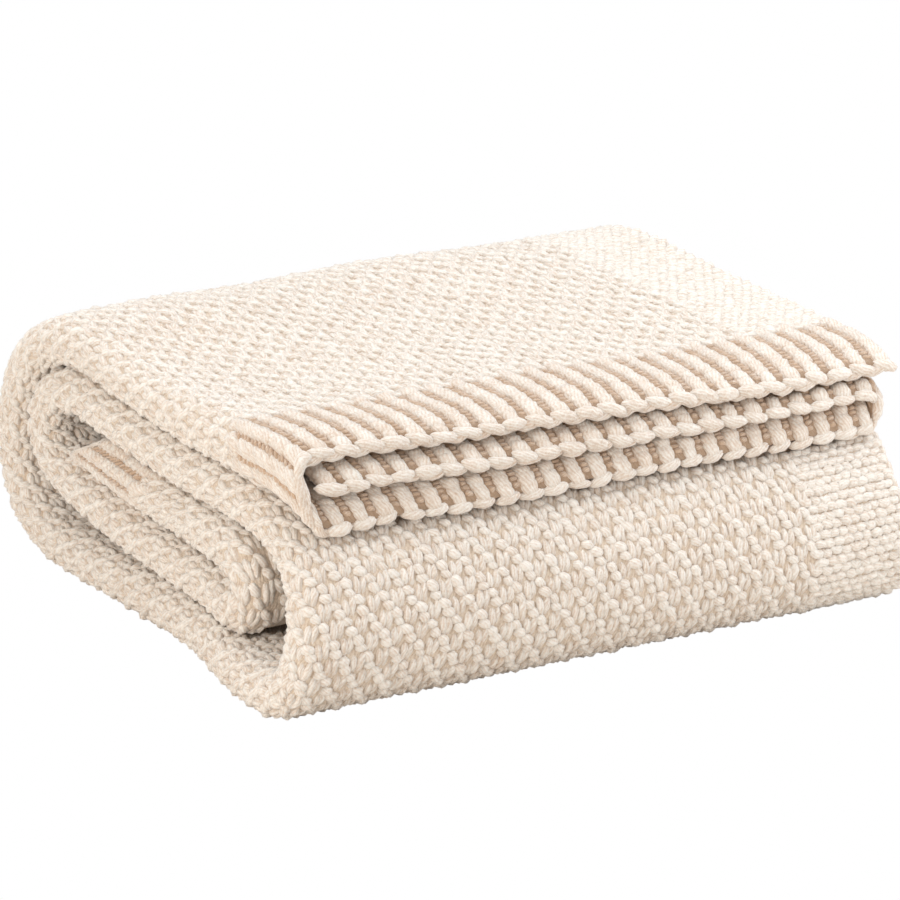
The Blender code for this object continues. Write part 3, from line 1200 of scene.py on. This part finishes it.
@dataclass
class StitchPlan:
    """Which stitches lie where on the sheet, as a knitter's chart gives them."""

    fold: BlanketFold
    outlook: Outlook
    column_width: float = 8.25
    row_height: float = 5.2
    border_width: float = 68.0
    garter_width: float = 6.8
    rib_depth: float = 86.0
    rib_pitch: float = 16.4
    bead_pitch: float = 7.2
    rib_start: float = 9.5
    lobe_inset: float = 2.6
    loop_inset: float = 0.5
    measured_at: float = 200.0
    jitter: float = 0.3
    height_jitter_share: float = 0.6
    turn_jitter: float = 0.09
    size_jitter: float = 0.05
    tone_jitter: float = 0.06
    wander: float = 0.5
    variants: int = 5
    unevenness: float = 0.22
    random: np.random.Generator = field(init=False)
    casts: dict[Stitch, list[YarnCast]] = field(init=False)

    def __post_init__(self) -> None:
        """Makes several casts of each shape."""
        self.random = np.random.default_rng(SEED)
        self.casts = {
            stitch: [
                stitch.value.variant(self.random, self.unevenness).build() for _ in range(self.variants)
            ]
            for stitch in Stitch
        }

    def scatter(self, batch: StitchBatch, laying: Laying, u: Array, v: Array, side: Side) -> None:
        """Lays one shape at the places that show, a little unevenly.

        Args:
            batch: Where the copies go.
            laying: The shape and how it is laid.
            u: Places across the sheet.
            v: Places along it.
            side: The side of the sheet.
        """
        u, v = u + laying.across, v + laying.along
        shown = self.outlook.shows(u, v, side)
        u, v = u[shown], v[shown]
        count = len(u)
        loose = laying.looseness
        nudge = self.random.normal(0.0, self.jitter * loose, (count, 3))
        nudge[:, 2] *= self.height_jitter_share
        spots = StitchSpots(
            side,
            np.column_stack([*self.wandered(u, v), np.full(count, laying.lift)]) + nudge,
            self.random.normal(0.0, self.turn_jitter * loose, count),
            laying.size * (1 + self.random.normal(0.0, self.size_jitter * loose, (count, 3))),
            self.fold.stretches(u, v, side),
            self.random.normal(laying.tone, self.tone_jitter, count),
        )
        kinds = self.random.integers(0, self.variants, count)
        for kind, cast in enumerate(self.casts[laying.stitch]):
            batch.lay(cast, spots.only(kinds == kind))

    def wandered(self, u: Array, v: Array) -> tuple[Array, Array]:
        """Shifts neighbouring places slightly together, as rows of soft knitting wander."""
        aside, ahead = (sum(wave.at(u, v) for wave in waves) for waves in (WANDER_ACROSS, WANDER_ALONG))
        return u + self.wander * aside, v + self.wander * ahead

    def _units(self, places: Array) -> tuple[Array, Array, Array]:
        """Spreads two-row units over columns of stitches, from the ribs of one hem to those of the other.

        Args:
            places: The columns' places across the sheet.

        Returns:
            The units' places across and along, and which of them are odd, as on a chequerboard.
        """
        pitch = self.row_height * 2
        rows = np.arange(math.ceil((self.fold.length - 2 * self.rib_depth) / pitch))
        column, row = np.meshgrid(np.arange(len(places)), rows, indexing="ij")
        return places[column], self.rib_depth + (row + 0.5) * pitch, (column + row) % 2 == 1

    def moss(self, batch: StitchBatch, patch: Patch) -> None:
        """Lays double moss stitch over a patch: two-row units of knit strands and purl knobs by turns.

        Args:
            batch: Where the stitches go.
            patch: The part of the sheet.
        """
        places = self.fold.columns(self.column_width, patch.side, self.measured_at)
        border = round(self.border_width / self.column_width)
        u, v, odd = self._units(places[border:-border])
        inside = patch.holds(u, v)
        purl = odd == (patch.side is Side.OUTSIDE)
        knit, purl = inside & ~purl, inside & purl
        for chosen, layings in ((knit, KNIT_LEGS), (purl, PURL_BUMPS)):
            for laying in layings:
                self.scatter(batch, laying, u[chosen], v[chosen], patch.side)

    def garter(self, batch: StitchBatch, patch: Patch) -> None:
        """Lays the garter stitch of both selvedge borders over a patch.

        Args:
            batch: Where the stitches go.
            patch: The part of the sheet.
        """
        places = self.fold.columns(self.garter_width, patch.side, self.measured_at)
        border = round(self.border_width / self.garter_width)
        u, v, _ = self._units(np.concatenate([places[:border], places[-border:]]))
        inside = patch.holds(u, v)
        for laying in GARTER_ROWS:
            self.scatter(batch, laying, u[inside], v[inside], patch.side)

    def _rib_places(self, side: Side, along: float) -> tuple[Array, Array]:
        """Finds where the ribs and the valleys between them lie, across one side near one hem.

        Args:
            side: The side of the sheet.
            along: Where along the sheet the ribs are spaced evenly.

        Returns:
            The ribs' places and the valleys' places.
        """
        places = self.fold.columns(self.rib_pitch / 2, side, along)
        first = int(side is Side.INSIDE)
        return places[first::2], places[1 - first :: 2]

    def ribs(self, batch: StitchBatch, side: Side) -> None:
        """Lays the ribs of both hems on one side of the sheet.

        Args:
            batch: Where the stitches go.
            side: The side of the sheet.
        """
        beads = self.rib_start + np.arange(round(self.rib_depth / self.bead_pitch)) * self.bead_pitch
        bumps = np.arange(self.rib_start, self.rib_depth, self.row_height)
        for end, inwards in ((0.0, 1), (self.fold.length, -1)):
            places, valleys = self._rib_places(side, end + inwards * self.rib_depth / 2)
            u, v = np.meshgrid(places, end + inwards * beads, indexing="ij")
            self.scatter(batch, RIB, u.ravel(), v.ravel(), side)
            u, v = np.meshgrid(valleys, end + inwards * bumps, indexing="ij")
            self.scatter(batch, VALLEY, u.ravel(), v.ravel(), side)

    def hems(self, batch: StitchBatch) -> None:
        """Lays the lobes of the cast-on edge along both hems.

        Args:
            batch: Where the lobes go.
        """
        for end, inwards in ((0.0, 1), (self.fold.length, -1)):
            edge, near = end + inwards * self.lobe_inset, end + inwards * self.rib_depth / 2
            for side, laying in LOBES.items():
                u = self._rib_places(side, near)[0]
                self.scatter(batch, laying, u, np.full_like(u, edge), side)

    def selvedges(self, batch: StitchBatch) -> None:
        """Lays the chain of loops along both selvedges.

        Args:
            batch: Where the loops go.
        """
        pitch = self.row_height * 2
        v = (np.arange(math.ceil(self.fold.length / pitch)) + 0.5) * pitch
        for u in (self.loop_inset, self.fold.edges[-1] - self.loop_inset):
            self.scatter(batch, LOOP, np.full_like(v, u), v, Side.OUTSIDE)


@dataclass(frozen=True)
class Softbox:
    """One square light, in metres and watts."""

    name: str
    place: tuple[float, float, float]
    aim: tuple[float, float, float]
    size: float
    power: float
    tint: tuple[float, float, float]

    def build(self) -> bpy.types.Object:
        """Makes the light and turns it to what it is aimed at.

        Returns:
            The light.
        """
        data = bpy.data.lights.new(self.name, "AREA")
        data.shape, data.size, data.energy, data.color = "SQUARE", self.size, self.power, self.tint
        light = new_object(self.name, data)
        turn = (Vector(self.place) - Vector(self.aim)).to_track_quat("Z", "Y").to_matrix().to_4x4()
        light.matrix_world = Matrix.Translation(self.place) @ turn
        return light


SOFTBOXES = (
    Softbox("overhead softbox", (0.4, 0.3, 2.2), (0.0, 0.0, 0.1), 2.6, 53.0, (0.97, 1.0, 1.03)),
    Softbox("right softbox", (0.74, -0.66, 0.45), (0.18, -0.15, 0.08), 0.9, 5.6, (0.97, 1.0, 1.02)),
    Softbox("left softbox", (-1.5, -0.5, 0.6), (-0.1, 0.0, 0.08), 1.2, 15.0, (1.0, 0.96, 0.9)),
)


@dataclass
class Studio:
    """White floor, soft lights and the camera."""

    lens: float = 220.0
    sensor: float = 36.0
    farthest: float = 100.0
    turn: float = 31.6
    tilt: float = 17.8
    offset: tuple[float, float, float] = (-90.3, -151.4, 3143.0)
    floor_size: float = 12.0
    floor_tint: tuple[float, float, float, float] = (0.80, 0.75, 0.69, 1.0)
    floor_roughness: float = 0.9
    surround_tint: tuple[float, float, float, float] = (0.93, 0.865, 0.785, 1.0)
    surround_strength: float = 0.335

    def camera(self, fold: BlanketFold) -> bpy.types.Object:
        """Places the camera at the photograph's angle.

        Args:
            fold: The throw, whose tables the camera's place was measured in.

        Returns:
            The camera.
        """
        turn, tilt = math.radians(self.turn), math.radians(self.tilt)
        ahead = np.array([math.sin(turn) * math.cos(tilt), math.cos(turn) * math.cos(tilt), -math.sin(tilt)])
        right = np.array([math.cos(turn), -math.sin(turn), 0.0])
        up = np.array([math.sin(turn) * math.sin(tilt), math.cos(turn) * math.sin(tilt), math.cos(tilt)])
        aside, above, away = self.offset
        place = (-(away * ahead + aside * right + above * up) - np.array(fold.origin)) * MM
        data = bpy.data.cameras.new("camera")
        data.lens, data.sensor_width, data.clip_end = self.lens, self.sensor, self.farthest
        camera = new_object("camera", data)
        camera.matrix_world = Matrix([*np.column_stack([right, up, -ahead, place]), (0, 0, 0, 1)])
        bpy.context.scene.camera = camera
        return camera

    def floor(self) -> bpy.types.Object:
        """Makes the plain floor, which isn't part of the throw and looks white to the camera.

        Returns:
            The floor.
        """
        body = bmesh.new()
        bmesh.ops.create_grid(body, x_segments=1, y_segments=1, size=self.floor_size / 2)
        mesh = bpy.data.meshes.new("floor")
        body.to_mesh(mesh)
        body.free()
        material = bpy.data.materials.new("floor_paper")
        material.use_nodes = True
        shader = shader_of(material)
        shader.inputs["Base Color"].default_value = self.floor_tint
        shader.inputs["Roughness"].default_value = self.floor_roughness
        chain = NodeChain(material.node_tree)
        glow = chain.add("ShaderNodeEmission").outputs[0]
        looked_at = chain.add("ShaderNodeLightPath").outputs["Is Camera Ray"]
        mixed = chain.add("ShaderNodeMixShader", at_0=looked_at, at_1=shader.outputs[0], at_2=glow)
        output = material.node_tree.nodes["Material Output"]
        material.node_tree.links.new(mixed.outputs[0], output.inputs["Surface"])
        mesh.materials.append(material)
        floor = new_object("floor", mesh)
        return floor

    def lights(self) -> None:
        """Makes the pale surround and the soft lights."""
        world = bpy.data.worlds.new("surround")
        bpy.context.scene.world = world
        world.use_nodes = True
        surround = world.node_tree.nodes["Background"]
        surround.inputs["Color"].default_value = self.surround_tint
        surround.inputs["Strength"].default_value = self.surround_strength
        for softbox in SOFTBOXES:
            softbox.build()
        bpy.context.scene.view_settings.view_transform = "Standard"

    def build(self, fold: BlanketFold) -> None:
        """Makes the floor, the lights and the camera.

        Args:
            fold: The throw that the camera looks at.
        """
        self.floor()
        self.lights()
        self.camera(fold)


@dataclass
class KnitThrow:
    """The whole throw: the folded sheet and the stitches on it."""

    fold: BlanketFold = field(default_factory=BlanketFold)
    flat_size: tuple[float, float] = (1.27, 1.76)
    turn_reach: float = 8.0
    rear_start: float = 330.0
    underside_start: float = 520.0
    front_start: float = 800.0
    roll_start: float = 1010.0
    blocker_cells: int = 200
    edge_lit_height: float = 2.0

    def build(self) -> list[bpy.types.Object]:
        """Makes and dresses every piece.

        Returns:
            The pieces, the sheet first.
        """
        yarn = YarnSurface().build()
        wool = CREAM_WOOL.build(yarn)
        sheet = FoldedSheet(self.fold).build(SHADED_WOOL.build(yarn))
        plan = StitchPlan(self.fold, Outlook(self.fold, self.blocker()))
        pieces = []
        for name, patches in self.patches().items():
            batch = StitchBatch(self.fold)
            for patch in patches:
                plan.moss(batch, patch)
                plan.garter(batch, patch)
            pieces.append(self.finish(batch, name, wool))
        batch = StitchBatch(self.fold)
        for side in Side:
            plan.ribs(batch, side)
        pieces.append(self.finish(batch, "hem_ribs", wool))
        batch = StitchBatch(self.fold, lit_height=self.edge_lit_height)
        plan.hems(batch)
        plan.selvedges(batch)
        pieces.append(self.finish(batch, "edge_loops", wool))
        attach(sheet, "root")
        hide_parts("throw_blanket")
        return [sheet, *pieces]

    def patches(self) -> dict[str, tuple[Patch, ...]]:
        """Divides the sheet among the pieces of stitches.

        Returns:
            The parts of the sheet that each named piece covers.
        """
        edges, length = self.fold.edges, self.fold.length
        turned, halved, rolled = edges[1] - self.turn_reach, (edges[2] + edges[3]) / 2, self.roll_start
        starts = {
            "moss_top": 0.0,
            "moss_rear": self.rear_start,
            "moss_underside": self.underside_start,
            "moss_front": self.front_start,
            "moss_inner_turns": rolled,
        }
        ends = [*starts.values()][1:] + [length]
        return {
            name: (Patch(Side.OUTSIDE, start, end, 0.0, turned),)
            for (name, start), end in zip(starts.items(), ends)
        } | {
            "left_end_outer_turn": (Patch(Side.OUTSIDE, 0.0, rolled, turned, halved),),
            "left_end_inner_turn": (Patch(Side.OUTSIDE, rolled, length, turned, halved),),
            "right_end_outer_turn": (
                Patch(Side.OUTSIDE, 0.0, rolled, halved, edges[-1]),
                Patch(Side.INSIDE, 0.0, rolled, 0.0, edges[-1]),
            ),
            "right_end_inner_turn": (
                Patch(Side.OUTSIDE, rolled, length, halved, edges[-1]),
                Patch(Side.INSIDE, rolled, length, 0.0, edges[-1]),
            ),
        }

    def blocker(self) -> BVHTree:
        """Makes the throw at its full thickness, which hides what lies between its layers.

        Returns:
            The tree that rays are cast at.
        """
        thickness, cells = self.fold.ply_thickness, self.blocker_cells
        solid = FoldedSheet(self.fold, thickness=thickness, along_cells=cells).shell()
        tree = BVHTree.FromBMesh(solid)
        solid.free()
        return tree

    @staticmethod
    def finish(batch: StitchBatch, name: str, material: bpy.types.Material) -> bpy.types.Object:
        """Builds one piece of stitches and makes it ride with the throw.

        Args:
            batch: The stitches.
            name: The piece's name.
            material: Its material.

        Returns:
            The piece.
        """
        LOG.info("%s: %d triangles", name, batch.triangles)
        piece = batch.build(name, material)
        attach(piece, "root")
        return piece


def main() -> None:
    """Builds the throw and the studio, and logs the flat sheet's size and each piece that is built."""
    logging.basicConfig(level=logging.INFO, format="%(name)s %(message)s")
    throw = KnitThrow()
    LOG.info("flat sheet %.0f by %.0f mm", throw.fold.edges[-1], throw.fold.length)
    for piece in throw.build():
        LOG.info("%s is built", piece.name)
    Studio().build(throw.fold)


if __name__ == "__main__":
    main()
